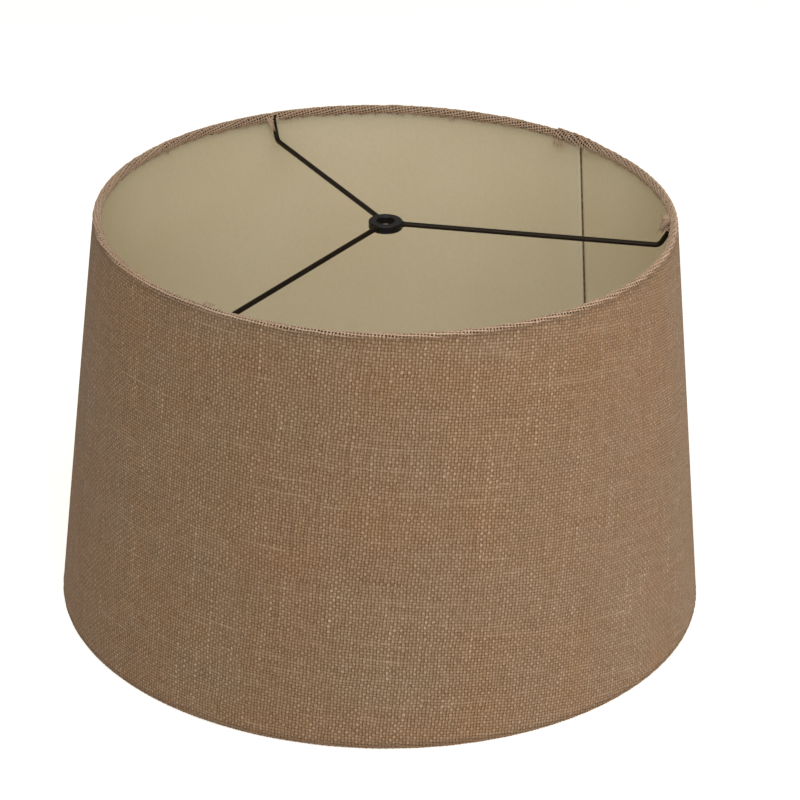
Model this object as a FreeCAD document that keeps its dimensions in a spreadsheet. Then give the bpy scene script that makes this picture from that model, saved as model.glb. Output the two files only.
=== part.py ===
import FreeCAD, Part
import math
import os

import Sketcher

# Hardback lamp shade: a tapered drum of burlap laminated to a styrene liner, its edges
# rolled round two wire rings, with a recessed three-arm washer fitter across the top.
#
# Frame: +Z up along the shade's axis, origin on the base plane at the axis, millimetres.
# Azimuths are measured from +X, counter-clockwise seen from above; the front is -Y.
# Sections are drawn in a vertical half-plane: sketch X is the radius, sketch Y the height.

os.makedirs("parts", exist_ok=True)
doc = FreeCAD.newDocument("lamp_shade")

Z_AXIS = FreeCAD.Vector(0, 0, 1)
ORIGIN = FreeCAD.Vector(0, 0, 0)

# ---------------------------------------------------------------- driving dimensions
DIMENSIONS = [
    # alias, value, what it is
    ("top_radius", 177.8, "outside radius of the rolled top rim (14 in shade)"),
    ("bottom_radius", 203.2, "outside radius of the rolled bottom rim (16 in shade)"),
    ("height", 258.0, "rim to rim, away from the lap"),
    ("wire_diameter", 3.175, "1/8 in steel wire of the rings and the arms"),
    ("liner_thickness", 0.38, "15 mil styrene sheet"),
    ("cover_thickness", 0.8, "burlap"),
    ("bond_gap", 0.05, "adhesive film between laminated layers"),
    ("tape_thickness", 0.15, "double-sided tape inside the lap"),
    ("tape_gap", 0.03, "clearance on each face of the tape"),
    ("tape_margin", 4.0, "tape stops this far short of each rim"),
    ("tape_inset", 0.7, "degrees from each end of the lap to the tape"),
    ("hem_turn", 197.0, "degrees the burlap turns over a ring, from the wall's normal"),
    ("hem_depth", 9.2, "raw edge of the turned hem, below the rim"),
    ("liner_edge", 0.2, "liner stops this far short of a ring's centre"),
    ("lap_inner", 45.7, "azimuth of the liner's inner end"),
    ("lap_outer", 51.9, "azimuth of the outer end, on the outside of the lap"),
    ("lap_edge", 0.36, "degrees the burlap runs past the liner's inner end"),
    ("ramp_start", 42.4, "azimuth where the sheet starts to climb onto the lap"),
    ("ramp_end", 45.0, "azimuth where the sheet is fully on the lap"),
    ("lap_clear", 0.6, "degrees from the lap's outer end to the full lower hem"),
    ("lap_hem_drop", 0.5, "the outer end's raw edge hangs this much lower"),
    ("foot_lift", 0.35, "the outer end's lower roll sits this much higher on the ring"),
    ("washer_diameter", 20.8, "outside of the fitter's washer"),
    ("washer_bore", 11.112, "7/16 in hole for a harp or finial stud"),
    ("washer_thickness", 5.0, "height of the washer"),
    ("washer_chamfer", 0.5, "broken edges of the washer"),
    ("washer_recess", 7.1, "washer's top face, below the rim"),
    ("arm_drop", 2.1, "arm's axis at the washer, below its top face"),
    ("bend_radius_at", 167.0, "radius where the arm's two straight legs would meet"),
    ("bend_depth", 16.7, "the same point, below the rim"),
    ("bend_fillet", 5.0, "bend radius of the arm's axis"),
    ("weld_gap", 0.05, "clearance between an arm's end and what it is welded to"),
    ("hub_bead_base", 2.05, "hub weld bead: radius at the washer"),
    ("hub_bead_tip", 1.65, "hub weld bead: radius at its outer end"),
    ("hub_bead_reach", 1.5, "hub weld bead: length outside the washer"),
    ("ring_bead_radius", 2.2, "ring weld bead"),
    ("slit_width", 5.2, "slit in the top hem where an arm comes out"),
    ("slit_top", 1.0, "top of the slit, above the ring's centre"),
    ("slit_length", 12.0, "height of the cutter that opens the slit"),
    ("arm_back_left", 115.7, "azimuth"),
    ("arm_front_left", 234.5, "azimuth"),
    ("arm_right", 357.2, "azimuth"),
]

dims = doc.addObject("Spreadsheet::Sheet", "dims")
dims.Label = "dims"
for row, (alias, number, note) in enumerate(DIMENSIONS, start=1):
    dims.set(f"A{row}", alias)
    dims.set(f"B{row}", str(number))
    dims.setAlias(f"B{row}", alias)
    dims.set(f"C{row}", note)
doc.recompute()

# ---------------------------------------------------------------- derived dimensions
derived = doc.addObject("App::VarSet", "derived")


def derive(name, expression):
    """Add one derived number that follows the spreadsheet."""
    derived.addProperty("App::PropertyFloat", name, "derived")
    derived.setExpression(name, expression)
    doc.recompute()


derive("wire_radius", "dims.wire_diameter / 2")
# Wall and hem stand off each ring's centre: the liner lies between wire and burlap on
# the outside, and only the adhesive does on the inside.
derive("hem_side", "derived.wire_radius + dims.bond_gap")
derive("wall_side", "derived.hem_side + dims.liner_thickness + dims.bond_gap")
derive("roll_inner", "(derived.wall_side + derived.hem_side) / 2")
derive("roll_outer", "derived.roll_inner + dims.cover_thickness")
derive("roll_shift", "(derived.wall_side - derived.hem_side) / 2")
derive("top_roll_r", "dims.top_radius - derived.roll_outer")
derive("top_roll_z", "dims.height - derived.roll_outer")
derive("bottom_roll_r", "dims.bottom_radius - derived.roll_outer")
derive("bottom_roll_z", "derived.roll_outer")
derive(
    "tilt",
    "atan((derived.bottom_roll_r - derived.top_roll_r)"
    " / (derived.top_roll_z - derived.bottom_roll_z)) / 1deg",
)
derive("cos_tilt", "cos(derived.tilt * 1deg)")
derive("sin_tilt", "sin(derived.tilt * 1deg)")
derive("top_ring_r", "derived.top_roll_r - derived.roll_shift * derived.cos_tilt")
derive("top_ring_z", "derived.top_roll_z - derived.roll_shift * derived.sin_tilt")
derive("bottom_ring_r", "derived.bottom_roll_r - derived.roll_shift * derived.cos_tilt")
derive("bottom_ring_z", "derived.bottom_roll_z - derived.roll_shift * derived.sin_tilt")
derive("top_hem_z", "dims.height - dims.hem_depth")
derive("bottom_hem_z", "dims.hem_depth")
derive("top_hem_angle", "derived.tilt + dims.hem_turn - 270")
derive("bottom_hem_angle", "derived.tilt - dims.hem_turn + 270")

# In the lap the sheet lies over its own other end: liner, burlap and tape underneath.
derive(
    "lap_step",
    "dims.liner_thickness + dims.bond_gap + dims.cover_thickness"
    " + 2 * dims.tape_gap + dims.tape_thickness",
)
derive("lap_wall_side", "derived.wall_side + derived.lap_step")
derive("lap_hem_side", "derived.hem_side + dims.cover_thickness + dims.bond_gap")
derive("lap_roll_inner", "(derived.lap_wall_side + derived.lap_hem_side) / 2")
derive("lap_roll_outer", "derived.lap_roll_inner + dims.cover_thickness")
derive("lap_roll_shift", "(derived.lap_wall_side - derived.lap_hem_side) / 2")
derive("lap_top_r", "derived.top_ring_r + derived.lap_roll_shift * derived.cos_tilt")
derive("lap_top_z", "derived.top_ring_z + derived.lap_roll_shift * derived.sin_tilt")
derive("lap_top_hem_z", "derived.top_hem_z - dims.lap_hem_drop")

# At the foot the inner end has no hem, so the outer end's roll closes round the ring
# alone. It is lifted a little and pressed flat on the base plane.
derive("foot_hem_side", "derived.hem_side + 2 * dims.bond_gap")
derive("lap_foot_inner", "(derived.lap_wall_side + derived.foot_hem_side) / 2")
derive("lap_foot_outer", "derived.lap_foot_inner + dims.cover_thickness")
derive("lap_foot_shift", "(derived.lap_wall_side - derived.foot_hem_side) / 2")
derive("lap_bottom_r", "derived.bottom_ring_r + derived.lap_foot_shift * derived.cos_tilt")
derive(
    "lap_bottom_z",
    "derived.bottom_ring_z + derived.lap_foot_shift * derived.sin_tilt + dims.foot_lift",
)

# Arms: the washer end, the bend, and the end that meets the top ring.
derive("arm_start_r", "dims.washer_diameter / 2 + dims.weld_gap")
derive("arm_start_z", "dims.height - dims.washer_recess - dims.arm_drop")
derive("bend_z", "dims.height - dims.bend_depth")
derive("leg_run", "derived.top_ring_r - dims.bend_radius_at")
derive("leg_rise", "derived.top_ring_z - derived.bend_z")
derive("leg_length", "sqrt(derived.leg_run^2 + derived.leg_rise^2)")
derive("leg_stop", "(derived.wire_radius + dims.weld_gap) / derived.leg_length")
derive("arm_end_r", "derived.top_ring_r - derived.leg_run * derived.leg_stop")
derive("arm_end_z", "derived.top_ring_z - derived.leg_rise * derived.leg_stop")


def number(name):
    """Current value of a derived name or a spreadsheet alias."""
    if hasattr(derived, name):
        return float(getattr(derived, name))
    return float(dims.get(name))


def vec(x, y):
    return FreeCAD.Vector(x, y, 0)


# ---------------------------------------------------------------- sketch helpers
def fix_point(sketch, geometry, point, label, x_expression, y_expression):
    """Dimension a sketch point from the origin and bind both numbers."""
    position = sketch.getPoint(geometry, point)
    for kind, value, expression in (
        ("DistanceX", position.x, x_expression),
        ("DistanceY", position.y, y_expression),
    ):
        constraint = sketch.addConstraint(Sketcher.Constraint(kind, -1, 1, geometry, point, value))
        sketch.renameConstraint(constraint, f"{label}_{kind}")
        sketch.setExpression(f"Constraints.{label}_{kind}", expression)


def bind(sketch, label, constraint, expression):
    """Add a dimension under a name and bind it."""
    index = sketch.addConstraint(constraint)
    sketch.renameConstraint(index, label)
    sketch.setExpression(f"Constraints.{label}", expression)


def upright_sketch(name, azimuth):
    """Free sketch in the vertical half-plane at one azimuth."""
    sketch = doc.addObject("Sketcher::SketchObject", name)
    sketch.Placement = FreeCAD.Placement(ORIGIN, FreeCAD.Rotation(azimuth, 0, 90))
    return sketch


def polygon_sketch(name, azimuth, corners):
    """Closed polygon whose corners are (radius, height) expressions."""
    sketch = upright_sketch(name, azimuth)
    points = [
        vec(float(sketch.evalExpression(x)), float(sketch.evalExpression(y))) for x, y in corners
    ]
    count = len(points)
    for i in range(count):
        sketch.addGeometry(Part.LineSegment(points[i], points[(i + 1) % count]), False)
    for i in range(count):
        sketch.addConstraint(Sketcher.Constraint("Coincident", i, 2, (i + 1) % count, 1))
    for i, (x, y) in enumerate(corners):
        fix_point(sketch, i, 1, f"corner{i}", x, y)
    return sketch


def wall_point(end, normal, upward):
    """Expressions of a point given from a ring's centre: along the wall's normal and up it."""
    radius = (
        f"derived.{end}_ring_r + ({normal}) * derived.cos_tilt - ({upward}) * derived.sin_tilt"
    )
    level = (
        f"derived.{end}_ring_z + ({normal}) * derived.sin_tilt + ({upward}) * derived.cos_tilt"
    )
    return radius, level


def revolve(name, sketch, angle):
    """Solid swept by a closed section about the shade's axis."""
    solid = doc.addObject("Part::Revolution", name)
    solid.Source = sketch
    solid.Axis = Z_AXIS
    solid.Base = ORIGIN
    solid.Solid = True
    solid.setExpression("Angle", angle)
    return solid


def ruled_loft(name, sections):
    """Solid between matching sections."""
    loft = doc.addObject("Part::Loft", name)
    loft.Sections = sections
    loft.Solid = True
    loft.Ruled = True
    return loft


def fuse(name, shapes):
    result = doc.addObject("Part::MultiFuse", name)
    result.Shapes = shapes
    return result


def cut(name, base, tool):
    result = doc.addObject("Part::Cut", name)
    result.Base = base
    result.Tool = tool
    return result


# ---------------------------------------------------------------- burlap cover
# The names a section needs at each rim: the roll's centre, its radii, the raw edge.
SHEET = {
    "top": ("top_roll", "roll", "top_hem_z"),
    "bottom": ("bottom_roll", "roll", "bottom_hem_z"),
}
SHEET_ON_LAP = {
    "top": ("lap_top", "lap_roll", "lap_top_hem_z"),
    "bottom": ("lap_bottom", "lap_foot", "bottom_hem_z"),
}


def rim_points(end, names):
    """Where the burlap's two faces leave the wall, leave the roll and end, at one rim."""
    centre_name, roll, edge_name = names
    way = 1 if end == "top" else -1
    tilt = math.radians(number("tilt"))
    over = tilt + way * math.radians(number("hem_turn"))
    centre = vec(number(f"{centre_name}_r"), number(f"{centre_name}_z"))
    wall = vec(math.cos(tilt), math.sin(tilt))
    leave = vec(math.cos(over), math.sin(over))
    along = vec(-way * math.sin(over), way * math.cos(over))
    inner = number(f"{roll}_inner")
    outer = number(f"{roll}_outer")
    drop = (number(edge_name) - (centre + leave * outer).y) / along.y
    return {
        "centre": centre,
        "angles": sorted((tilt, over)),
        "radii": (inner, outer),
        "wall": (centre + wall * inner, centre + wall * outer),
        "hem": (centre + leave * inner, centre + leave * outer),
        "edge": (centre + leave * inner + along * drop, centre + leave * outer + along * drop),
    }


def roll_arc(rim, face):
    circle = Part.Circle(rim["centre"], Z_AXIS, rim["radii"][face])
    return Part.ArcOfCircle(circle, rim["angles"][0], rim["angles"][1])


def line(start, end):
    return Part.LineSegment(start, end)


def cover_section(name, azimuth, names):
    """Closed section of the burlap: hem, roll over the top ring, wall, roll, hem."""
    sketch = upright_sketch(name, azimuth)
    top = rim_points("top", names["top"])
    foot = rim_points("bottom", names["bottom"])
    inner, outer = 0, 1
    sketch.addGeometry(
        [
            line(foot["wall"][outer], top["wall"][outer]),
            roll_arc(top, outer),
            line(top["hem"][outer], top["edge"][outer]),
            line(top["edge"][outer], top["edge"][inner]),
            line(top["edge"][inner], top["hem"][inner]),
            roll_arc(top, inner),
            line(top["wall"][inner], foot["wall"][inner]),
            roll_arc(foot, inner),
            line(foot["hem"][inner], foot["edge"][inner]),
            line(foot["edge"][inner], foot["edge"][outer]),
            line(foot["edge"][outer], foot["hem"][outer]),
            roll_arc(foot, outer),
        ],
        False,
    )
    # Numbers below are the segments in that order; an arc's point 1 is its lower angle.
    smooth_joints = (
        (0, 2, 1, 1), (1, 2, 2, 1), (4, 2, 5, 2), (5, 1, 6, 1),
        (6, 2, 7, 2), (7, 1, 8, 1), (10, 2, 11, 1), (11, 2, 0, 1),
    )
    for joint in smooth_joints:
        sketch.addConstraint(Sketcher.Constraint("Tangent", *joint))
    for first, second in ((2, 3), (3, 4), (8, 9), (9, 10)):
        sketch.addConstraint(Sketcher.Constraint("Coincident", first, 2, second, 1))
    for first, second in ((1, 5), (7, 11)):
        sketch.addConstraint(Sketcher.Constraint("Coincident", first, 3, second, 3))
    for first, second in ((2, 4), (8, 10)):
        sketch.addConstraint(Sketcher.Constraint("Parallel", first, second))
    for first, second in ((2, 3), (9, 10)):
        sketch.addConstraint(Sketcher.Constraint("Perpendicular", first, second))
    for end, inner_arc, outer_arc, hem_line, edge_line in (
        ("top", 5, 1, 2, 2),
        ("bottom", 7, 11, 8, 9),
    ):
        centre_name, roll, edge_name = names[end]
        for face, arc in (("inner", inner_arc), ("outer", outer_arc)):
            radius = number(f"{roll}_{face}")
            bind(sketch, f"{end}_{face}_radius", Sketcher.Constraint("Radius", arc, radius),
                 f"derived.{roll}_{face}")
        fix_point(sketch, outer_arc, 3, f"{end}_centre",
                  f"derived.{centre_name}_r", f"derived.{centre_name}_z")
        angle = math.radians(number(f"{end}_hem_angle"))
        bind(sketch, f"{end}_hem_angle", Sketcher.Constraint("Angle", hem_line, angle),
             f"derived.{end}_hem_angle * 1deg")
        height = number(edge_name)
        bind(sketch, f"{end}_hem_edge",
             Sketcher.Constraint("DistanceY", -1, 1, edge_line, 2, height),
             f"derived.{edge_name}")
    return sketch


def box(name, sizes, base, azimuth):
    """Box from (length, width, height) expressions, set at a local corner and turned."""
    solid = doc.addObject("Part::Box", name)
    for side, expression in zip(("Length", "Width", "Height"), sizes):
        solid.setExpression(side, expression)
    turn = FreeCAD.Rotation(Z_AXIS, azimuth)
    solid.Placement = FreeCAD.Placement(turn.multVec(base), turn)
    return solid


ARMS = ("arm_back_left", "arm_front_left", "arm_right")

sheet_section = cover_section("cover_section", number("ramp_start"), SHEET)
sheet_lap_section = cover_section("cover_lap_section", number("ramp_end"), SHEET_ON_LAP)
cover_round = revolve(
    "cover_round", sheet_section, "dims.lap_inner - dims.lap_edge - dims.ramp_start - 360"
)
cover_ramp = ruled_loft("cover_ramp", [sheet_section, sheet_lap_section])
cover_lap = revolve("cover_lap", sheet_lap_section, "dims.lap_outer - dims.ramp_end")

# The inner end's lower hem is notched away where the outer end will cover it.
NOTCH_INSIDE = "dims.bottom_radius - 15"
NOTCH_OUTSIDE = "dims.bottom_radius + 5"
notch_section = polygon_sketch(
    "notch_section",
    number("ramp_end"),
    [
        (NOTCH_INSIDE, "-1"),
        (NOTCH_OUTSIDE, "-1"),
        (NOTCH_OUTSIDE, "derived.bottom_ring_z"),
        wall_point("bottom", "derived.wall_side - dims.bond_gap / 2", "0"),
        wall_point("bottom", "derived.wall_side - dims.bond_gap / 2", "dims.hem_depth"),
        (NOTCH_INSIDE, "derived.bottom_ring_z + dims.hem_depth"),
    ],
)
notch = revolve("hem_notch", notch_section, "dims.lap_outer + dims.lap_clear - dims.ramp_end")
cover_notched = cut("cover_notched", cover_round, notch)
cover_sheet = fuse("cover_sheet", [cover_notched, cover_ramp, cover_lap])

# The top hem is slit where each arm comes out, and the lap's foot is pressed flat.
openings = []
for arm in ARMS:
    corner = FreeCAD.Vector(
        number("top_ring_r") - number("slit_length"),
        -number("slit_width") / 2,
        number("top_ring_z") + number("slit_top") - number("slit_length"),
    )
    slit_sizes = ("dims.slit_length + 1.2", "dims.slit_width", "dims.slit_length")
    openings.append(box(f"slit_{arm}", slit_sizes, corner, number(arm)))
base_slab = doc.addObject("Part::Cylinder", "base_slab")
base_slab.setExpression("Radius", "dims.bottom_radius + 20")
base_slab.Height = 5
base_slab.Placement.Base = FreeCAD.Vector(0, 0, -5)
openings.append(base_slab)
burlap_cover = cut("burlap_cover", cover_sheet, fuse("cover_openings", openings))

# ---------------------------------------------------------------- styrene liner
def strip_section(name, azimuth, side, thickness, top_short, bottom_short):
    """Thin strip parallel to the wall, from one ring to the other."""
    far = f"{side} + {thickness}"
    return polygon_sketch(
        name,
        azimuth,
        [
            wall_point("bottom", side, bottom_short),
            wall_point("bottom", far, bottom_short),
            wall_point("top", far, f"-{top_short}"),
            wall_point("top", side, f"-{top_short}"),
        ],
    )


LINER_SIDE = "derived.hem_side"
liner_section = strip_section(
    "liner_section", number("ramp_start"), LINER_SIDE,
    "dims.liner_thickness", "dims.liner_edge", "dims.liner_edge",
)
liner_lap_section = strip_section(
    "liner_lap_section", number("ramp_end"), f"{LINER_SIDE} + derived.lap_step",
    "dims.liner_thickness", "dims.liner_edge", "dims.liner_edge",
)
liner_round = revolve(
    "liner_round", liner_section, "dims.lap_inner - dims.ramp_start - 360"
)
liner_ramp = ruled_loft("liner_ramp", [liner_section, liner_lap_section])
liner_lap = revolve("liner_lap", liner_lap_section, "dims.lap_outer - dims.ramp_end")
liner_panel = fuse("liner_panel", [liner_round, liner_ramp, liner_lap])

# ---------------------------------------------------------------- tape inside the lap
tape_section = strip_section(
    "tape_section",
    number("lap_inner") + number("tape_inset"),
    "derived.wall_side + dims.cover_thickness + dims.tape_gap",
    "dims.tape_thickness", "dims.tape_margin", "dims.tape_margin",
)
seam_tape = revolve(
    "seam_tape", tape_section, "dims.lap_outer - dims.lap_inner - 2 * dims.tape_inset"
)


# ---------------------------------------------------------------- wire rings
def wire_ring(name, end):
    """Wire hoop lying flat inside one rim."""
    ring = doc.addObject("Part::Torus", name)
    ring.setExpression("Radius1", f"derived.{end}_ring_r")
    ring.setExpression("Radius2", "derived.wire_radius")
    ring.setExpression("Placement.Base.z", f"derived.{end}_ring_z")
    return ring


top_ring = wire_ring("top_ring", "top")
bottom_ring = wire_ring("bottom_ring", "bottom")


# ---------------------------------------------------------------- spider: washer
def new_body(name):
    return doc.addObject("PartDesign::Body", name)


def body_sketch(body, name, plane):
    """Sketch on one of the body's own origin planes."""
    sketch = body.newObject("Sketcher::SketchObject", name)
    origin_plane = next(item for item in body.Origin.OriginFeatures if item.Role == plane)
    sketch.AttachmentSupport = [(origin_plane, "")]
    sketch.MapMode = "FlatFace"
    doc.recompute()
    return sketch


spider_washer = new_body("spider_washer")
washer_sketch = body_sketch(spider_washer, "washer_rings", "XY_Plane")
for index, (label, size) in enumerate((("outside", "washer_diameter"), ("bore", "washer_bore"))):
    washer_sketch.addGeometry(Part.Circle(ORIGIN, Z_AXIS, number(size) / 2), False)
    washer_sketch.addConstraint(Sketcher.Constraint("Coincident", index, 3, -1, 1))
    bind(washer_sketch, label, Sketcher.Constraint("Diameter", index, number(size)),
         f"dims.{size}")
washer_pad = spider_washer.newObject("PartDesign::Pad", "washer_pad")
washer_pad.Profile = washer_sketch
washer_pad.setExpression("Length", "dims.washer_thickness")
doc.recompute()
round_edges = [
    f"Edge{i}"
    for i, edge in enumerate(washer_pad.Shape.Edges, start=1)
    if isinstance(edge.Curve, Part.Circle)
]
washer_chamfer = spider_washer.newObject("PartDesign::Chamfer", "washer_chamfer")
washer_chamfer.Base = (washer_pad, round_edges)
washer_chamfer.setExpression("Size", "dims.washer_chamfer")
spider_washer.setExpression(
    "Placement.Base.z", "dims.height - dims.washer_recess - dims.washer_thickness"
)


# ---------------------------------------------------------------- spider: arms
def spider_arm(name, azimuth):
    """One wire from the washer out to the bend, then up and out to the top ring."""
    body = new_body(name)
    start = vec(number("arm_start_r"), number("arm_start_z"))
    corner = vec(number("bend_radius_at"), number("bend_z"))
    end = vec(number("arm_end_r"), number("arm_end_z"))
    inward = (start - corner).normalize()
    upward = (end - corner).normalize()
    half = inward.getAngle(upward) / 2
    setback = number("bend_fillet") / math.tan(half)
    centre = corner + (inward + upward).normalize() * (number("bend_fillet") / math.sin(half))
    first = corner + inward * setback
    last = corner + upward * setback
    from_first = math.atan2(first.y - centre.y, first.x - centre.x)
    from_last = math.atan2(last.y - centre.y, last.x - centre.x)

    path = body_sketch(body, f"{name}_path", "XZ_Plane")
    path.addGeometry(
        [
            line(start, first),
            Part.ArcOfCircle(
                Part.Circle(centre, Z_AXIS, number("bend_fillet")), from_first, from_last
            ),
            line(last, end),
        ],
        False,
    )
    path.addGeometry(Part.Point(corner), True)
    path.addConstraint(Sketcher.Constraint("Tangent", 0, 2, 1, 1))
    path.addConstraint(Sketcher.Constraint("Tangent", 1, 2, 2, 1))
    path.addConstraint(Sketcher.Constraint("PointOnObject", 3, 1, 0))
    path.addConstraint(Sketcher.Constraint("PointOnObject", 3, 1, 2))
    bind(path, "bend", Sketcher.Constraint("Radius", 1, number("bend_fillet")),
         "dims.bend_fillet")
    fix_point(path, 0, 1, "start", "derived.arm_start_r", "derived.arm_start_z")
    fix_point(path, 2, 2, "end", "derived.arm_end_r", "derived.arm_end_z")
    fix_point(path, 3, 1, "corner", "dims.bend_radius_at", "derived.bend_z")

    wire = body_sketch(body, f"{name}_wire", "YZ_Plane")
    wire.setExpression("AttachmentOffset.Base.z", "derived.arm_start_r")
    wire.addGeometry(Part.Circle(vec(0, start.y), Z_AXIS, number("wire_radius")), False)
    wire.addConstraint(Sketcher.Constraint("PointOnObject", 0, 3, -2))
    bind(wire, "level", Sketcher.Constraint("DistanceY", -1, 1, 0, 3, start.y),
         "derived.arm_start_z")
    bind(wire, "size", Sketcher.Constraint("Diameter", 0, number("wire_diameter")),
         "dims.wire_diameter")
    doc.recompute()

    pipe = body.newObject("PartDesign::AdditivePipe", f"{name}_pipe")
    pipe.Profile = wire
    pipe.Spine = (path, ["Edge1", "Edge2", "Edge3"])
    body.Placement = FreeCAD.Placement(ORIGIN, FreeCAD.Rotation(Z_AXIS, 0))
    body.setExpression("Placement.Rotation.Angle", f"dims.{azimuth}")
    doc.recompute()
    return body


spider_arms = [spider_arm(f"spider_{arm}", arm) for arm in ARMS]

# ---------------------------------------------------------------- weld beads
hub_slope = math.degrees(
    math.atan2(
        number("arm_start_z") - number("bend_z"),
        number("bend_radius_at") - number("arm_start_r"),
    )
)
BEAD_SINK = 0.4
hub_cones = []
ring_balls = []
for arm in ARMS:
    turn = FreeCAD.Rotation(Z_AXIS, number(arm))
    cone = doc.addObject("Part::Cone", f"hub_cone_{arm}")
    cone.setExpression("Radius1", "dims.hub_bead_base")
    cone.setExpression("Radius2", "dims.hub_bead_tip")
    cone.setExpression("Height", f"dims.hub_bead_reach + {BEAD_SINK}")
    foot = FreeCAD.Vector(number("washer_diameter") / 2 - BEAD_SINK, 0, number("arm_start_z"))
    cone.Placement = FreeCAD.Placement(
        turn.multVec(foot), FreeCAD.Rotation(number(arm), 90 + hub_slope, 0)
    )
    hub_cones.append(cone)
    ball = doc.addObject("Part::Sphere", f"ring_ball_{arm}")
    ball.setExpression("Radius", "dims.ring_bead_radius")
    ball.Placement.Base = turn.multVec(FreeCAD.Vector(number("arm_end_r"), 0, number("arm_end_z")))
    ring_balls.append(ball)

hub_weld_beads = cut(
    "hub_weld_beads",
    fuse("hub_cones", hub_cones),
    fuse("hub_steel", [spider_washer] + spider_arms),
)
ring_weld_beads = cut(
    "ring_weld_beads",
    fuse("ring_balls", ring_balls),
    fuse("ring_steel", [top_ring] + spider_arms),
)
doc.recompute()

# ---------------------------------------------------------------- check and write
NODES = [
    burlap_cover, liner_panel, seam_tape, top_ring, bottom_ring,
    spider_washer, *spider_arms, hub_weld_beads, ring_weld_beads,
]
for item in doc.Objects:
    if "Invalid" in item.State or "Error" in item.State:
        raise RuntimeError(f"{item.Name} did not recompute: {item.State}")
for node in NODES:
    node.Label = node.Name
    shape = node.Shape
    if shape.isNull() or not shape.isValid() or not shape.Solids:
        raise RuntimeError(f"{node.Label} has no valid solid")
    shape.exportStep(f"parts/{node.Label}.step")
    print(f"{node.Label}: {len(shape.Solids)} solid(s), {shape.Volume:.1f} mm3")
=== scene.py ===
import math

import bpy
import numpy as np
from mathutils import Matrix, Vector


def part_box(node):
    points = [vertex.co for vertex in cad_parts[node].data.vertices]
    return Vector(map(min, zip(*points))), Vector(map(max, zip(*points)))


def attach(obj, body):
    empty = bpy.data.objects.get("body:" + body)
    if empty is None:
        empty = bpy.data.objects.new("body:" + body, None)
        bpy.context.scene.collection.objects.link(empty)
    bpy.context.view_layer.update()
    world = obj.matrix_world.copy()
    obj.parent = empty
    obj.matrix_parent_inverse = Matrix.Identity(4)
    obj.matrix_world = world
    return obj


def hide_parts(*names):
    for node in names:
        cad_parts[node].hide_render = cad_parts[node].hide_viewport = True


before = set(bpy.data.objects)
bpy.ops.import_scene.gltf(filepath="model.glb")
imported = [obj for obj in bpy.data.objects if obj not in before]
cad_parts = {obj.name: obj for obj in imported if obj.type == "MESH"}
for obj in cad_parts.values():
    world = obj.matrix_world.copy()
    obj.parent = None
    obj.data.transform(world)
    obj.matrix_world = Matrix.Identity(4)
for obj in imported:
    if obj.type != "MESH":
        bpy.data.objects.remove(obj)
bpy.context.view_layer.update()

MM = 0.001
TAU = 2 * math.pi

# ------------------------------------------------------------------ sizes (metres)
top_lo, top_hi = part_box("top_ring")
foot_lo, foot_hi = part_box("bottom_ring")
WIRE_R = (top_hi.z - top_lo.z) / 2
TOP_R = (top_hi.x - top_lo.x) / 2 - WIRE_R
TOP_Z = (top_hi.z + top_lo.z) / 2
FOOT_R = (foot_hi.x - foot_lo.x) / 2 - WIRE_R
FOOT_Z = (foot_hi.z + foot_lo.z) / 2

LINER = 0.38 * MM
CLOTH = 0.80 * MM
FILM = 0.05 * MM
TAPE = 0.21 * MM
HEM_SIDE = WIRE_R + FILM
WALL_SIDE = HEM_SIDE + LINER + FILM
LAP_STEP = LINER + FILM + CLOTH + TAPE
TURN = math.radians(197.0)
HEM_DEPTH = 9.2 * MM

TILT = math.atan2(FOOT_R - TOP_R, TOP_Z - FOOT_Z)
NORMAL = np.array([math.cos(TILT), math.sin(TILT)])
TOP_RING = np.array([TOP_R, TOP_Z])
FOOT_RING = np.array([FOOT_R, FOOT_Z])

# azimuths in degrees; the sheet runs from its inner end up to its outer end, one turn on
CLOTH_START = 45.5
LINER_START = 45.7
RAMP_START = 397.5
RAMP_END = 405.0
SHEET_END = 411.3
# where the warp runs straight down the wall
GRAIN_AZIMUTH = 228.6


def azimuth_of(node):
    low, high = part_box(node)
    return math.degrees(math.atan2(low.y + high.y, low.x + high.x)) % 360


ARM_BACK = azimuth_of("spider_arm_back_left")
ARM_FRONT = azimuth_of("spider_arm_front_left")
ARM_RIGHT = azimuth_of("spider_arm_right")
ARMS = (ARM_BACK, ARM_FRONT, ARM_RIGHT)
# an arm's outer leg, from its bend up to the top ring
LEG_IN = 7.93 * MM
LEG_DROP = 14.03 * MM

WARP_PITCH = 2.0 * MM
WEFT_PITCH = 1.86 * MM

# how far the hand-wrapped sheet strays from an even cone
BELLY = 0.55 * MM
FACETS = 0.10 * MM
RIM_LIFT = 0.16 * MM
HEM_STAND = 0.35 * MM
HEM_STAND_CHANGE = 0.45 * MM
# the hem over the end of an arm: half width, cover above the leg, and how fast it dies away
ARM_COVER_HALF = 3.6 * MM
ARM_COVER = 2.65 * MM
ARM_COVER_FADE = 3.0 * MM
ARM_COVER_FROM = 0.35


# ------------------------------------------------------------------ the sheet's shape
def waves(seed, count, low, high):
    """Smooth periodic noise of an angle in radians, about 1 at its largest."""
    noise = np.random.default_rng(seed)
    freq = noise.integers(low, high, count)
    amp = noise.uniform(0.4, 1.0, count) / np.sqrt(count)
    phase = noise.uniform(0, TAU, count)

    def at(angle):
        return sum(a * np.sin(f * angle + p) for a, f, p in zip(amp, freq, phase))

    return at


wall_bulge = waves(1, 5, 2, 9)
wall_facets = waves(2, 7, 14, 40)
rim_lift = waves(3, 9, 5, 48)
rim_puff = waves(4, 12, 20, 110)
hem_edge = waves(5, 14, 12, 130)
hem_stand = waves(6, 8, 4, 30)


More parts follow.
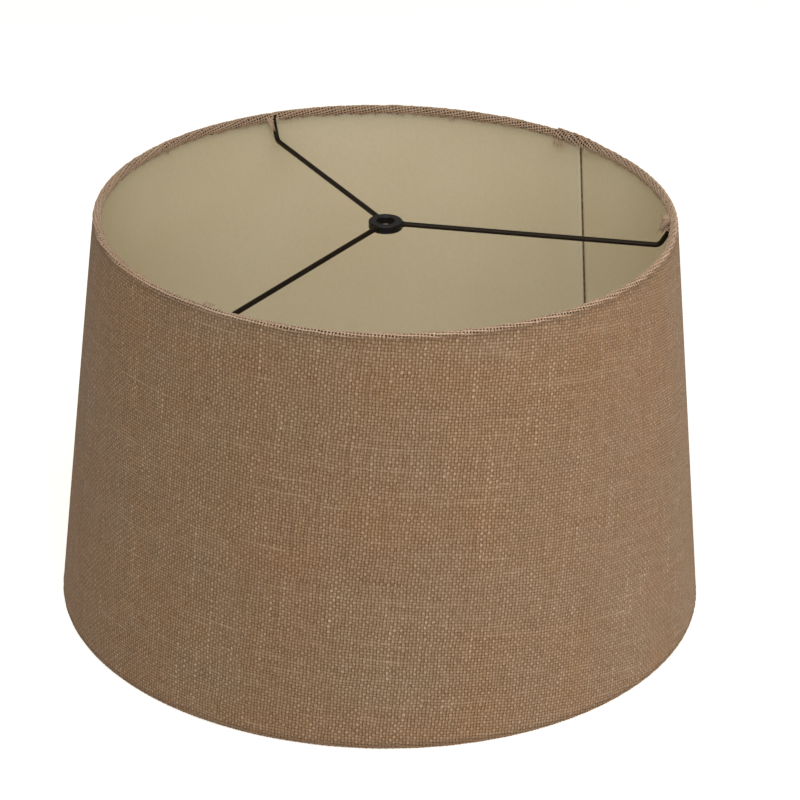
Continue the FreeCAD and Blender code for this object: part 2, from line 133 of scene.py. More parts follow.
def section_pieces(wall_side, hem_side, foot_hem_side=None, foot_lift=0.0):
    """Roll centres and middle radii at both rims."""
    foot_side = hem_side if foot_hem_side is None else foot_hem_side
    top_mid = (wall_side + hem_side) / 2 + CLOTH / 2
    foot_mid = (wall_side + foot_side) / 2 + CLOTH / 2
    top_c = TOP_RING + NORMAL * (wall_side - hem_side) / 2
    foot_c = FOOT_RING + NORMAL * (wall_side - foot_side) / 2 + np.array([0, foot_lift])
    return top_c, top_mid, foot_c, foot_mid


LAP_FOOT_LIFT = 0.35 * MM
FLAT = section_pieces(WALL_SIDE, HEM_SIDE)
LAP = section_pieces(
    WALL_SIDE + LAP_STEP, HEM_SIDE + CLOTH + FILM, HEM_SIDE + 2 * FILM, LAP_FOOT_LIFT
)
WALL_LENGTH = float(np.linalg.norm(FLAT[0] - FLAT[2]))
ROLL = TURN * FLAT[1]
HEM = (HEM_DEPTH + FLAT[1] * math.sin(TILT + TURN) - (FLAT[1] + CLOTH / 2)) / math.cos(
    TURN - math.pi
)
APEX = (FLAT[0] + NORMAL * FLAT[1])[0] / math.sin(TILT)


def section(t, h, pieces):
    """Radius, height and face normal at distance t down the sheet, h off its middle.

    t is 0 where the sheet leaves the top roll and WALL_LENGTH where it meets the foot's.
    """
    top_c, top_mid, foot_c, foot_mid = pieces
    over = np.clip(-t / ROLL, 0, 1)
    under = np.clip((t - WALL_LENGTH) / ROLL, 0, 1)
    angle = TILT + TURN * (over - under)
    n = np.stack([np.cos(angle), np.sin(angle)], -1)
    f = np.clip(t / WALL_LENGTH, 0, 1)[..., None]
    centre = top_c * (1 - f) + foot_c * f
    mid = (top_mid * (1 - f[..., 0]) + foot_mid * f[..., 0])[..., None]
    run_top = np.clip(-t - ROLL, 0, None)[..., None]
    run_foot = np.clip(t - WALL_LENGTH - ROLL, 0, None)[..., None]
    along_top = np.stack([-n[..., 1], n[..., 0]], -1)
    point = centre + n * (mid + h[..., None]) + along_top * (run_top - run_foot)
    return point, n


def smooth(x):
    x = np.clip(x, 0, 1)
    return x * x * (3 - 2 * x)


def over_arms(azimuth, t, r, z):
    """Push the top hem inwards where it passes over the end of an arm."""
    leg = TOP_R - LEG_IN + (z - TOP_Z + LEG_DROP) * LEG_IN / LEG_DROP
    for arm in ARMS:
        aside = np.radians((azimuth - arm + 180) % 360 - 180) * r
        q = np.clip(np.abs(aside) / ARM_COVER_HALF, 0, 1)
        over = leg - ARM_COVER * np.sqrt(1 - q * q) + ARM_COVER_FADE * q**4
        hem = (t < -ARM_COVER_FROM * ROLL) & (q < 1)
        r = np.where(hem, np.minimum(r, over), r)
    return r


def on_sheet(azimuth, t, h):
    """Points and normals on the sheet; azimuth in degrees counted along the sheet."""
    azimuth, t, h = np.broadcast_arrays(
        np.asarray(azimuth, float), np.asarray(t, float), np.asarray(h, float)
    )
    a = np.radians(azimuth)
    on_lap = smooth((azimuth - RAMP_START) / (RAMP_END - RAMP_START))[..., None]
    flat, flat_n = section(t, h, FLAT)
    lap, lap_n = section(t, h, LAP)
    point = flat * (1 - on_lap) + lap * on_lap
    n = flat_n * (1 - on_lap) + lap_n * on_lap
    n /= np.linalg.norm(n, axis=-1, keepdims=True)
    # unevenness: the wall bellies slightly between the rings, the rims hardly move
    down = np.clip(t / WALL_LENGTH, 0, 1)
    belly = np.sin(math.pi * down)
    radial = BELLY * wall_bulge(a) * belly + FACETS * wall_facets(a) * belly
    lift = RIM_LIFT * rim_lift(a) * (1 - down)
    # the turned hem stands off the liner by a varying amount
    hang = np.clip((-t - ROLL) / HEM, 0, 1.3)
    radial = radial + hang * (HEM_STAND + HEM_STAND_CHANGE * hem_stand(a))
    r = point[..., 0] + radial
    z = point[..., 1] + lift
    r = over_arms(azimuth, t, r, z)
    place = np.stack([r * np.cos(a), r * np.sin(a), z], -1)
    normal = np.stack([n[..., 0] * np.cos(a), n[..., 0] * np.sin(a), n[..., 1]], -1)
    return place, normal


def flat_place(azimuth, t):
    """Where a point of the sheet lies on the flat cloth: x across, y down the grain."""
    turn = np.radians(np.asarray(azimuth, float) - GRAIN_AZIMUTH) * math.sin(TILT)
    rho = APEX + np.asarray(t, float)
    return rho * np.sin(turn), rho * np.cos(turn)


def sheet_place(x, y):
    """Azimuth along the sheet and distance down it, from a place on the flat cloth."""
    rho = np.hypot(x, y)
    turn = np.arctan2(x, y)
    return GRAIN_AZIMUTH + np.degrees(turn / math.sin(TILT)), rho - APEX


# ------------------------------------------------------------------ mesh helpers
def new_object(name, verts, faces, material, flat):
    """Smooth-shaded mesh whose points carry their place on the flat cloth."""
    mesh = bpy.data.meshes.new(name)
    mesh.from_pydata(verts.tolist(), [], faces)
    layer = mesh.attributes.new("flat", "FLOAT_VECTOR", "POINT")
    layer.data.foreach_set("vector", np.asarray(flat, np.float32).ravel())
    mesh.polygons.foreach_set("use_smooth", [True] * len(mesh.polygons))
    mesh.validate()
    mesh.update()
    obj = bpy.data.objects.new(name, mesh)
    bpy.context.scene.collection.objects.link(obj)
    mesh.materials.append(material)
    return obj


def grid_faces(rows, columns, offset=0, flip=False):
    """Quads of a rows x columns lattice of vertices."""
    i = np.arange(rows - 1)
    j = np.arange(columns - 1)
    a = (i[:, None] * columns + j[None, :]).ravel()
    b = ((i + 1)[:, None] * columns + j[None, :]).ravel()
    quads = np.stack([a, b, b + 1, a + 1], -1) + offset
    return quads[:, ::-1] if flip else quads


class Strands:
    """Collects round or flattened strands, closed at both ends, into one mesh."""

    def __init__(self, sides):
        self.sides = sides
        self.verts, self.faces, self.flat, self.count = [], [], [], 0

    def add(self, path, normal, half_width, half_height, flat):
        path = np.asarray(path, float)
        count = len(path)
        along = np.gradient(path, axis=0)
        along /= np.linalg.norm(along, axis=1, keepdims=True) + 1e-12
        side = np.cross(along, normal)
        side /= np.linalg.norm(side, axis=1, keepdims=True) + 1e-12
        up = np.cross(side, along)
        turn = np.arange(self.sides) / self.sides * TAU + TAU / (2 * self.sides)
        width = np.broadcast_to(half_width, (count,))[:, None, None]
        height = np.broadcast_to(half_height, (count,))[:, None, None]
        ring = (
            path[:, None, :]
            + side[:, None, :] * width * np.cos(turn)[None, :, None]
            + up[:, None, :] * height * np.sin(turn)[None, :, None]
        )
        self.verts.append(ring.reshape(-1, 3))
        i = np.arange(count - 1)[:, None] * self.sides
        j = np.arange(self.sides)[None, :]
        k = (j + 1) % self.sides
        quads = np.stack([i + j, i + k, i + self.sides + k, i + self.sides + j], -1)
        self.faces += (quads.reshape(-1, 4) + self.count).tolist()
        first = self.count + np.arange(self.sides)
        last = first + (count - 1) * self.sides
        self.faces.append(first[::-1].tolist())
        self.faces.append(last.tolist())
        self.flat.append(np.repeat(np.asarray(flat, float), self.sides, axis=0))
        self.count += count * self.sides

    def build(self, name, material):
        verts, flat = np.concatenate(self.verts), np.concatenate(self.flat)
        return new_object(name, verts, self.faces, material, flat)


# ------------------------------------------------------------------ node helpers
class Graph:
    """Short calls for building a node tree."""

    def __init__(self, tree):
        self.tree = tree

    def put(self, socket, value):
        if isinstance(value, bpy.types.NodeSocket):
            self.tree.links.new(value, socket)
        elif value is not None:
            socket.default_value = value

    def add(self, kind, inputs=None, **props):
        node = self.tree.nodes.new(kind)
        for key, value in props.items():
            setattr(node, key, value)
        for key, value in (inputs or {}).items():
            self.put(node.inputs[key], value)
        return node

    def math(self, operation, a, b=None, clamp=False):
        node = self.add("ShaderNodeMath", {0: a, 1: b}, operation=operation)
        node.use_clamp = clamp
        return node.outputs[0]

    def plus(self, a, b):
        return self.math("ADD", a, b)

    def minus(self, a, b):
        return self.math("SUBTRACT", a, b)

    def times(self, a, b):
        return self.math("MULTIPLY", a, b)

    def split(self, vector):
        return self.add("ShaderNodeSeparateXYZ", {0: vector}).outputs

    def colour(self, red, green, blue):
        return self.add("ShaderNodeCombineColor", {0: red, 1: green, 2: blue}).outputs[0]

    def object_place(self):
        return self.add("ShaderNodeTexCoord").outputs["Object"]

    def vector(self, x, y=0.0, z=0.0):
        return self.add("ShaderNodeCombineXYZ", {0: x, 1: y, 2: z}).outputs[0]

    def noise(self, vector, scale=1.0, detail=2.0, rough=0.5, colour=False):
        node = self.add(
            "ShaderNodeTexNoise",
            {"Vector": vector, "Scale": scale, "Detail": detail, "Roughness": rough},
        )
        return node.outputs["Color" if colour else "Fac"]

    def spread(self, value, low, high, to_low=0.0, to_high=1.0):
        node = self.add(
            "ShaderNodeMapRange",
            {"Value": value, 1: low, 2: high, 3: to_low, 4: to_high},
        )
        return node.outputs[0]

    def mix(self, factor, a, b, blend="MIX"):
        node = self.add("ShaderNodeMix", data_type="RGBA", blend_type=blend)
        self.put(node.inputs[0], factor)
        self.put(node.inputs[6], a)
        self.put(node.inputs[7], b)
        return node.outputs[2]

    def bump(self, height, strength, distance):
        node = self.add(
            "ShaderNodeBump",
            {"Height": height, "Strength": strength, "Distance": distance},
        )
        return node.outputs[0]


def new_material(name):
    material = bpy.data.materials.new(name)
    material.use_nodes = True
    graph = Graph(material.node_tree)
    shader = material.node_tree.nodes["Principled BSDF"]
    return material, graph, shader


def rgb(red, green, blue):
    """sRGB 0-255 to linear RGBA."""
    out = []
    for c in (red, green, blue):
        c /= 255
        out.append(c / 12.92 if c <= 0.04045 else ((c + 0.055) / 1.055) ** 2.4)
    return (*out, 1.0)


# ------------------------------------------------------------------ jute colours
JUTE_GREY = rgb(135, 112, 88)
JUTE_RED = rgb(138, 107, 77)
JUTE_PALE = rgb(174, 153, 127)
JUTE_DEEP = rgb(102, 73, 48)
# painted shade for the gaps between the wall's yarns
JUTE_SHADE = rgb(95, 58, 27)
# painted light: the loose ends are painted paler, standing in for the light on them
JUTE_LOOSE_LIT = rgb(206, 176, 147)
# painted highlight of the top rim's yarns
JUTE_RIM_HIGHLIGHT = rgb(226, 202, 177)
# fraction added to a yarn's kind in its flat place where it runs onto the wall
WALL_MARK = 0.4
# what the rim yarns' painted light fades to there, to match the wall
WALL_TINT = (0.85, 0.85, 0.85, 1.0)


def yarn_noise(g, index, along, per_yarn, per_pitch, seed, detail):
    """Noise that differs from yarn to yarn and drifts along each one."""
    place = g.vector(g.times(index, per_yarn), g.times(along, per_pitch), seed)
    return g.noise(place, 1.0, detail)


def yarn_tone(g, index, along, seed):
    """Colour of one yarn: it varies from yarn to yarn and slowly along each."""
    bands = yarn_noise(g, index, along, 0.045, 0.010, seed, 3.0)
    single = yarn_noise(g, index, along, 3.71, 0.035, seed + 4, 2.0)
    slub = yarn_noise(g, index, along, 5.13, 0.35, seed + 9, 2.0)
    hue = g.mix(g.spread(bands, 0.34, 0.68), JUTE_GREY, JUTE_RED)
    hue = g.mix(g.spread(single, 0.56, 0.76, 0.0, 0.45), hue, JUTE_PALE)
    hue = g.mix(g.spread(single, 0.42, 0.24, 0.0, 0.45), hue, JUTE_DEEP)
    return g.mix(g.spread(slub, 0.40, 0.25, 0.0, 0.45), hue, JUTE_DEEP)


def cloth_coordinates(g):
    """Place on the flat cloth in yarn pitches, and the kind of yarn."""
    flat = g.add("ShaderNodeAttribute", attribute_name="flat").outputs["Vector"]
    part = g.split(flat)
    x = g.math("DIVIDE", part[0], WARP_PITCH)
    y = g.math("DIVIDE", part[1], WEFT_PITCH)
    return x, y, part[2]


def wander(g, x, y, scale, seed, detail, rough, reach):
    """Shift a place on the cloth, alike for places that lie close together."""
    place = g.vector(g.times(x, scale), g.times(y, scale), seed)
    part = g.split(g.noise(place, 1.0, detail, rough, colour=True))
    x = g.plus(x, g.times(g.minus(part[0], 0.5), reach))
    y = g.plus(y, g.times(g.minus(part[1], 0.5), reach))
    return x, y


def yarn_height(g, cell, index, across, along, sign, thin, fat, lead):
    """Height of one set of yarns: domes that rise over and dip under the other set.

    sign is 1 for the warp and -1 for the weft; thin and fat bound the half width.
    """
    thick = yarn_noise(g, index, along, 2.37, 0.22, sign, 2.0)
    ratio = g.math("DIVIDE", across, g.spread(thick, 0.30, 0.70, thin, fat))
    dome = g.math("SQRT", g.math("MAXIMUM", g.minus(1.0, g.times(ratio, ratio)), 0.0))
    parity = g.math("COSINE", g.times(index, math.pi))
    wave = g.math("COSINE", g.times(g.minus(along, 0.5), math.pi))
    flat_top = g.plus(g.times(g.math("ABSOLUTE", wave), 0.65), 0.35)
    wave = g.times(g.math("DIVIDE", wave, flat_top), g.spread(cell, 0, 1, 0.42, 0.54))
    rise = g.times(g.times(parity, wave), sign)
    height = g.plus(g.times(dome, 0.6), g.plus(rise, lead))
    there = g.math("GREATER_THAN", dome, 0.02)
    return g.minus(g.times(g.plus(height, 0.9), there), 0.9)


def finish_jute(shader, sheen):
    shader.inputs["Roughness"].default_value = 0.92
    shader.inputs["Specular IOR Level"].default_value = 0.12
    shader.inputs["Sheen Weight"].default_value = sheen
    shader.inputs["Sheen Roughness"].default_value = 0.5


def burlap_wall_material():
    """Plain weave over the wall, too fine there for yarns of their own; the crowns carry painted
    light and the gaps painted shade.
    """
    material, g, shader = new_material("burlap_wall")
    x, y, _ = cloth_coordinates(g)
    x, y = wander(g, x, y, 0.07, 0.0, 4.0, 0.6, 1.6)
    x, y = wander(g, x, y, 0.55, 6.0, 1.0, 0.5, 0.65)
    warp = g.math("FLOOR", x)
    weft = g.math("FLOOR", y)
    across_warp = g.minus(g.minus(x, warp), 0.5)
    across_weft = g.minus(g.minus(y, weft), 0.5)
    cell = g.add(
        "ShaderNodeTexWhiteNoise", {"Vector": g.vector(warp, weft)}, noise_dimensions="2D"
    ).outputs["Value"]
    warp_height = yarn_height(g, cell, warp, across_warp, y, 1.0, 0.34, 0.47, 0.05)
    weft_height = yarn_height(g, cell, weft, across_weft, x, -1.0, 0.38, 0.50, 0.0)
    surface = g.math("MAXIMUM", warp_height, weft_height)
    warp_on_top = g.math("GREATER_THAN", warp_height, weft_height)
    colour = g.mix(warp_on_top, yarn_tone(g, weft, x, 21.0), yarn_tone(g, warp, y, 3.0))
    # painted light: yarn crowns are painted lighter and their flanks darker, warp crowns lighter
    # than weft crowns
    painted_crown_light = g.spread(surface, 0.45, 1.12, 0.70, 1.10)
    lit = g.times(painted_crown_light, g.spread(warp_on_top, 0, 1, 0.88, 1.08))
    lit = g.times(lit, g.spread(cell, 0, 1, 0.93, 1.07))
    # painted shade: light that reaches into the gaps has bounced off jute, so the painted shade
    # is more saturated
    warm = g.colour(lit, g.math("POWER", lit, 1.15), g.math("POWER", lit, 1.7))
    colour = g.mix(1.0, colour, warm, "MULTIPLY")
    # painted shade: the gaps between the yarns darken towards JUTE_SHADE
    colour = g.mix(g.spread(surface, 0.66, 0.0, 0.0, 0.9), colour, JUTE_SHADE)
    g.put(shader.inputs["Base Color"], colour)
    fibre = g.noise(g.vector(g.times(x, 3.0), g.times(y, 3.0)), 2.2, 3.0, 0.7)
    height = g.plus(surface, g.times(fibre, 0.35))
    g.put(shader.inputs["Normal"], g.bump(height, 1.0, 0.55 * MM))
    finish_jute(shader, 0.06)
    return material


def burlap_yarn_material(name, tint, highlight_share):
    """For yarns that are real geometry: z of the flat place tells warp from weft.

    tint multiplies the jute's colour: painted light on the top rim, painted shade at the foot;
    highlight_share mixes in the top rim's painted highlight.
    """
    material, g, shader = new_material(name)
    x, y, kind = cloth_coordinates(g)
    is_warp = g.math("LESS_THAN", kind, 0.7)
    is_loose = g.math("GREATER_THAN", kind, 1.7)
    on_wall = g.math("DIVIDE", g.math("FRACT", g.plus(kind, 0.0001)), WALL_MARK)
    warp_colour = yarn_tone(g, g.math("FLOOR", x), y, 3.0)
    weft_colour = yarn_tone(g, g.math("FLOOR", y), x, 21.0)
    colour = g.mix(is_warp, weft_colour, warp_colour)
    lift = g.mix(on_wall, (tint, tint, tint, 1.0), WALL_TINT)
    # painted light on the rim's yarns, fading to the wall's level where they run onto the wall
    colour = g.mix(1.0, colour, lift, "MULTIPLY")
    # painted highlight on the rim's yarns, none where they run onto the wall
    painted_highlight = g.times(g.math("SUBTRACT", 1.0, on_wall, clamp=True), highlight_share)
    colour = g.mix(painted_highlight, colour, JUTE_RIM_HIGHLIGHT)
    # painted light: loose ends are painted paler, as if lit
    colour = g.mix(g.times(is_loose, 0.75), colour, JUTE_LOOSE_LIT)
    fibre = g.noise(g.object_place(), 2600.0, 3.0, 0.7)
    colour = g.mix(g.spread(fibre, 0.30, 0.70, 0.35, 0.0), colour, JUTE_DEEP)
    g.put(shader.inputs["Base Color"], colour)
    g.put(shader.inputs["Normal"], g.bump(fibre, 0.5, 0.15 * MM))
    finish_jute(shader, 0.08)
    return material


def liner_material():
    material, g, shader = new_material("liner_styrene")
    place = g.object_place()
    broad = g.noise(place, 9.0, 2.0)
    fine = g.noise(place, 420.0, 4.0, 0.6)
    colour = g.mix(g.spread(broad, 0.35, 0.65), LINER_CREAM, LINER_CREAM_DARK)
    colour = g.mix(g.spread(fine, 0.35, 0.65, 0.0, 0.10), colour, LINER_SPECK)
    # painted reflection: the liner is painted paler across the lap, beside its inner end
    part = g.split(place)
    around = g.math("ARCTAN2", part[1], part[0])
    begin, end = (math.radians(a) for a in (LINER_START - 1.0, LINER_START - 0.2))
    last, gone = (math.radians(SHEET_END - 360 + a) for a in (-4.0, 1.0))
    seam_sheen = g.times(g.spread(around, begin, end), g.spread(around, gone, last))
    colour = g.mix(seam_sheen, colour, LINER_SEAM_SHEEN)
    g.put(shader.inputs["Base Color"], colour)
    g.put(shader.inputs["Normal"], g.bump(fine, 0.10, 0.08 * MM))
    g.put(shader.inputs["Roughness"], g.spread(fine, 0.3, 0.7, 0.36, 0.42))
    shader.inputs["Specular IOR Level"].default_value = 1.0
    return material


def black_paint_material(name, low, high, specular, tint):
    """Dipped black paint, slightly lumpy, between the colours low and high."""
    material, g, shader = new_material(name)
    place = g.object_place()
    coarse = g.noise(place, 160.0, 4.0, 0.6)
    fine = g.noise(place, 1400.0, 3.0, 0.6)
    colour = g.mix(g.spread(coarse, 0.55, 0.75, 0.0, 0.7), low, high)
    g.put(shader.inputs["Base Color"], colour)
    g.put(shader.inputs["Roughness"], g.spread(fine, 0.3, 0.7, 0.34, 0.52))
    g.put(shader.inputs["Normal"], g.bump(coarse, 0.35, 0.25 * MM))
    shader.inputs["Specular IOR Level"].default_value = specular
    shader.inputs["Specular Tint"].default_value = tint
    return material


def plain_material(name, colour, rough):
    """Pieces that hardly show: ring wire, tape, and the dark band of painted shade in the hem."""
    material, g, shader = new_material(name)
    grain = g.noise(g.object_place(), 300.0, 3.0)
    darker = tuple(c * 0.6 for c in colour[:3]) + (1.0,)
    g.put(shader.inputs["Base Color"], g.mix(grain, colour, darker))
    g.put(shader.inputs["Roughness"], g.spread(grain, 0.3, 0.7, rough - 0.08, rough + 0.08))
    shader.inputs["Specular IOR Level"].default_value = 0.08
    return material


LINER_CREAM = rgb(227, 213, 178)
LINER_CREAM_DARK = rgb(222, 207, 170)
LINER_SPECK = rgb(176, 156, 116)
# painted reflection of the liner across the lap
LINER_SEAM_SHEEN = rgb(223, 211, 178)
WARM_GLOSS = (1.0, 0.84, 0.66, 1.0)
NEUTRAL_GLOSS = (1.0, 0.98, 1.0, 1.0)

WALL_CLOTH = burlap_wall_material()
# the top rim's yarns are painted lighter, with a painted highlight, standing in for the light on
# the roll; the foot's are painted darker, as shade
YARN = burlap_yarn_material("burlap_yarn", 1.90, 0.38)
FOOT_YARN = burlap_yarn_material("burlap_yarn_foot", 0.85, 0.0)
# painted shade: dark colour of the band behind the top hem's yarns
HEM_SHADE = plain_material("burlap_hem_shade", rgb(66, 42, 25), 0.9)
STYRENE = liner_material()
ARM_PAINT = black_paint_material("arm_paint", rgb(24, 16, 9), rgb(46, 35, 22), 0.18, WARM_GLOSS)
HUB_PAINT = black_paint_material("hub_paint", rgb(11, 9, 9), rgb(28, 25, 25), 0.34, NEUTRAL_GLOSS)
RING_PAINT = plain_material("ring_paint", rgb(40, 28, 18), 0.75)
TAPE_FILM = plain_material("tape_film", rgb(214, 206, 184), 0.3)

# ------------------------------------------------------------------ camera and light
EYE_DISTANCE = 1.960
EYE_ELEVATION = math.radians(26.572)
EYE_ROLL = math.radians(1.045)
EYE_AIM = Vector((0.01073, 0.0, 0.12863))
EYE_LENS = 140.67
SENSOR = 36

back = Vector((0, -math.cos(EYE_ELEVATION), math.sin(EYE_ELEVATION)))
right = Vector((1, 0, 0))
up = right.cross(-back)
rolled_right = right * math.cos(EYE_ROLL) + up * math.sin(EYE_ROLL)
rolled_up = up * math.cos(EYE_ROLL) - right * math.sin(EYE_ROLL)
camera = bpy.data.objects.new("camera", bpy.data.cameras.new("camera"))
camera.data.lens = EYE_LENS
camera.data.sensor_width = SENSOR
camera.matrix_world = Matrix(
    (
        (rolled_right.x, rolled_up.x, back.x, EYE_AIM.x + back.x * EYE_DISTANCE),
        (rolled_right.y, rolled_up.y, back.y, EYE_AIM.y + back.y * EYE_DISTANCE),
        (rolled_right.z, rolled_up.z, back.z, EYE_AIM.z + back.z * EYE_DISTANCE),
        (0, 0, 0, 1),
    )
)
bpy.context.scene.collection.objects.link(camera)
bpy.context.scene.camera = camera
bpy.context.scene.view_settings.view_transform = "Standard"

SHADE_MIDDLE = Vector((0, 0, 0.13))
LIGHT_DISTANCE = 2.2


def soft_box(name, azimuth, elevation, width, height, power, colour):
    """Area light that faces the middle of the shade."""
    data = bpy.data.lights.new(name, "AREA")
    data.shape = "RECTANGLE"
    data.size = width
    data.size_y = height
    data.energy = power
    data.color = colour
    light = bpy.data.objects.new(name, data)
    a, e = math.radians(azimuth), math.radians(elevation)
    away = Vector((math.cos(a) * math.cos(e), math.sin(a) * math.cos(e), math.sin(e)))
    light.location = SHADE_MIDDLE + away * LIGHT_DISTANCE
    light.rotation_euler = away.to_track_quat("Z", "Y").to_euler()
    bpy.context.scene.collection.objects.link(light)


COOL = (0.97, 1.0, 1.08)
NEAR_WHITE = (1.0, 1.0, 1.03)
soft_box("key", azimuth=-20, elevation=0, width=1.8, height=0.3, power=25, colour=NEAR_WHITE)
soft_box("overhead", azimuth=-88, elevation=64, width=1.8, height=1.8, power=20, colour=COOL)
soft_box("front", azimuth=-84, elevation=25, width=1.0, height=1.0, power=14.5, colour=COOL)

world = bpy.data.worlds.new("studio")
world.use_nodes = True
background = world.node_tree.nodes["Background"]
background.inputs["Color"].default_value = (1.0, 0.955, 0.86, 1)
background.inputs["Strength"].default_value = 0.31
bpy.context.scene.world = world

FLOOR = 6.0
# the floor glows all round the shade but hardly under it
GLOW_UNDER = 0.13
GLOW_ROUND = 0.74
GLOW_FROM = FOOT_R - 4 * MM
GLOW_FULL = FOOT_R + 2 * MM
corners = [(-FLOOR, -FLOOR, 0), (FLOOR, -FLOOR, 0), (FLOOR, FLOOR, 0), (-FLOOR, FLOOR, 0)]
floor_mesh = bpy.data.meshes.new("floor")
floor_mesh.from_pydata(corners, [], [(0, 1, 2, 3)])
floor = bpy.data.objects.new("floor", floor_mesh)
bpy.context.scene.collection.objects.link(floor)
floor_material, floor_graph, floor_shader = new_material("floor")
floor_shader.inputs["Base Color"].default_value = (0.70, 0.70, 0.70, 1)
floor_shader.inputs["Roughness"].default_value = 0.9
floor_shader.inputs["Emission Color"].default_value = (1.0, 0.97, 0.89, 1)
floor_away = floor_graph.add(
    "ShaderNodeVectorMath", {0: floor_graph.object_place()}, operation="LENGTH"
).outputs["Value"]
glow = floor_graph.spread(floor_away, GLOW_FROM, GLOW_FULL, GLOW_UNDER, GLOW_ROUND)
floor_graph.put(floor_shader.inputs["Emission Strength"], glow)
floor_mesh.materials.append(floor_material)


# ------------------------------------------------------------------ wall and liner
def sheet_band(name, first, last, columns, rows, face_in, face_out, material, start, end):
    """Closed thin band of the sheet between two azimuths.

    It runs down the sheet from start, which may differ from column to column, to end, and
    lies between the heights face_in and face_out off the middle of the cloth.
    """
    azimuth = np.linspace(first, last, columns)
    start = np.broadcast_to(start, (columns,))[:, None]
    t = start + (end - start) * np.linspace(0, 1, rows)[None, :]
    verts, flats = [], []
    for h in (face_out, face_in):
        place, _ = on_sheet(azimuth[:, None], t, h)
        verts.append(place.reshape(-1, 3))
        fx, fy = flat_place(azimuth[:, None], t)
        flats.append(np.stack([fx, fy, np.zeros_like(fx)], -1).reshape(-1, 3))
    n = columns * rows
    faces = [grid_faces(columns, rows), grid_faces(columns, rows, offset=n, flip=True)]
    across, down = np.arange(rows), np.arange(columns) * rows
    edges = ((across, False), (n - rows + across, True), (down, True), (down + rows - 1, False))
    for ids, flip in edges:
        quads = np.stack([ids[:-1], ids[1:], ids[1:] + n, ids[:-1] + n], -1)
        faces.append(quads[:, ::-1] if flip else quads)
    faces = np.concatenate(faces).tolist()
    return new_object(name, np.concatenate(verts), faces, material, np.concatenate(flats))


INTO_ROLL = 1.0 * MM
cover = sheet_band(
    "burlap_wall", CLOTH_START, SHEET_END, columns=860, rows=44, face_in=-CLOTH / 2,
    face_out=CLOTH / 2, material=WALL_CLOTH, start=-INTO_ROLL, end=WALL_LENGTH + INTO_ROLL,
)

LINER_MID = -CLOTH / 2 - FILM - LINER / 2
LINER_SHORT = 0.2 * MM
liner = sheet_band(
    "styrene_liner", LINER_START, SHEET_END, columns=620, rows=30,
    face_in=LINER_MID - LINER / 2, face_out=LINER_MID + LINER / 2, material=STYRENE,
    start=LINER_SHORT, end=WALL_LENGTH - LINER_SHORT,
)

# ------------------------------------------------------------------ woven rims
YARN_RISE = 0.27 * MM
YARN_HALF_WIDTH = 0.51 * MM
YARN_HALF_HEIGHT = 0.36 * MM
YARN_WANDER = 0.13 * MM
YARN_PUFF = 0.14 * MM
SAMPLES_PER_PITCH = 3
# beyond the roll a yarn runs a little way onto the wall and sinks into it
SINK_START = 0.4 * MM
SINK_RATE = 0.34
ONTO_WALL = 3.6 * MM
# a yarn's tint turns into the wall's from here on, over this length
MARK_BEFORE = 1.4 * MM
MARK_LENGTH = 1.8 * MM
# the raw edge ends short of the even hem, more so beyond 402 and before 75 degrees
TRIM = 3.1 * MM
TRIM_CHANGE = 0.55 * MM
TRIM_AT_LAP = 2.2 * MM
TRIM_AT_RIGHT = 1.4 * MM
# how far fray and the band of painted shade reach in from the raw edge
EDGE_INSET = 0.7 * MM
# the cut in the hem round an arm, and where on the roll it begins
SLIT_HALF = 0.9 * MM
SLIT_FROM = 0.66
SLIT_RIPPLE = 4.0 / MM
# the inner end has no hem at the foot, where the outer end covers it
FOOT_HEM_START = SHEET_END - 360 + 0.6


def edge_trim(azimuth):
    """How far short of the even hem the raw edge ends."""
    at_lap = smooth((azimuth - 402) / 6) * TRIM_AT_LAP
    at_right = smooth((75 - azimuth) / 20) * TRIM_AT_RIGHT
    return TRIM_CHANGE * hem_edge(np.radians(azimuth)) + TRIM + at_lap + at_right


def slit(azimuth, t):
    """True where the top hem is cut open round an arm."""
    low = t < -SLIT_FROM * ROLL
    return low & sum(
        np.abs((azimuth - arm + 180) % 360 - 180) * TOP_R * math.pi / 180
        < SLIT_HALF * (1 + 0.25 * np.sin(t * SLIT_RIPPLE + arm))
        for arm in ARMS
    ).astype(bool)


def drift(noise, count, step, mean, spread):
    """Values that wander about their mean, with a new draw every few samples."""
    draws = noise.normal(mean, spread, count // step + 2)
    return np.interp(np.arange(count) / step, np.arange(len(draws)), draws)


